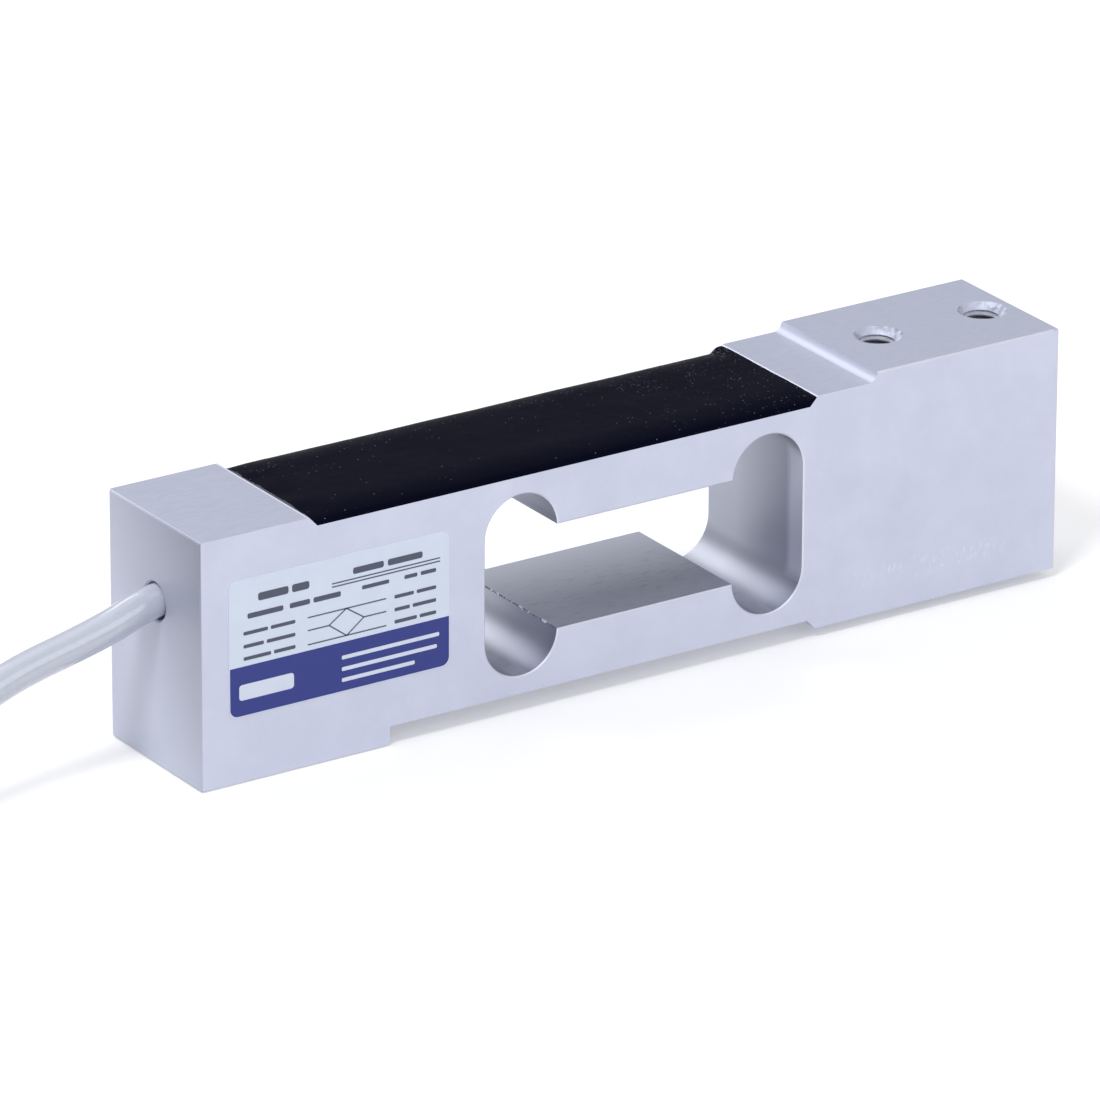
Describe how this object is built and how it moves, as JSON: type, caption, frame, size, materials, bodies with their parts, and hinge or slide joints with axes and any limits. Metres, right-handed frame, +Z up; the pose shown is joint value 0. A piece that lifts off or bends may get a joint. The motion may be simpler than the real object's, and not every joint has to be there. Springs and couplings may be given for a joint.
{
  "type": "single point load cell",
  "caption": "Bench-scale single point load cell: milled aluminium beam with a binocular opening, potted strain gauges on top, tapped bolting pads at both ends and a screened lead.",
  "frame": {"origin": "middle of the beam's underside box, level with the fixed pad's bolting face", "axes": "+X along the beam from the lead's end to the load end, +Y across it away from the label, +Z up towards the load platform"},
  "size_m": [0.2517, 0.0566, 0.04],
  "materials": {
    "beam_aluminium": "fine milled and satin anodised",
    "black_sealant": "poured, semi-gloss",
    "label_film": "printed film",
    "bore_sealant": "poured, matt",
    "board_laminate": "printed board",
    "gauge_film": "polyimide film with foil",
    "chip_ceramic": "glazed chip with tinned caps",
    "solder": "bright solder",
    "tinned_copper": "tinned wire",
    "lead_jacket": "smooth PVC",
    "tie_plastic": "flat plastic over wire",
    "sleeve_plastic": "heat-shrunk",
    "core_brown": "smooth PVC",
    "core_black": "smooth PVC",
    "core_white": "smooth PVC",
    "core_green": "smooth PVC",
    "core_red": "smooth PVC",
    "core_blue": "smooth PVC"
  },
  "bodies": {
    "root": {"spring_element": "beam_aluminium", "sealant_cover": "black_sealant", "label": "label_film", "cable_seal": "bore_sealant", "terminal_board": "board_laminate", "nickel_compensator": "gauge_film", "strain_gauge_1": "gauge_film", "strain_gauge_2": "gauge_film", "strain_gauge_3": "gauge_film", "strain_gauge_4": "gauge_film", "span_resistor_1": "chip_ceramic", "span_resistor_2": "chip_ceramic", "zero_balance_resistor": "chip_ceramic", "solder_joints": "solder", "gauge_lead_wires": "tinned_copper", "inner_core_brown": "core_brown", "inner_core_black": "core_black", "inner_core_white": "core_white", "inner_core_green": "core_green", "inner_core_red": "core_red", "inner_core_blue": "core_blue", "cable_jacket": "lead_jacket", "cable_coil": "lead_jacket", "coil_tie": "tie_plastic", "end_sleeve": "sleeve_plastic", "tail_core_brown": "core_brown", "tail_core_black": "core_black", "tail_core_white": "core_white", "tail_core_green": "core_green", "tail_core_red": "core_red", "tail_core_blue": "core_blue", "shield_drain": "tinned_copper"}
  },
  "joints": []
}
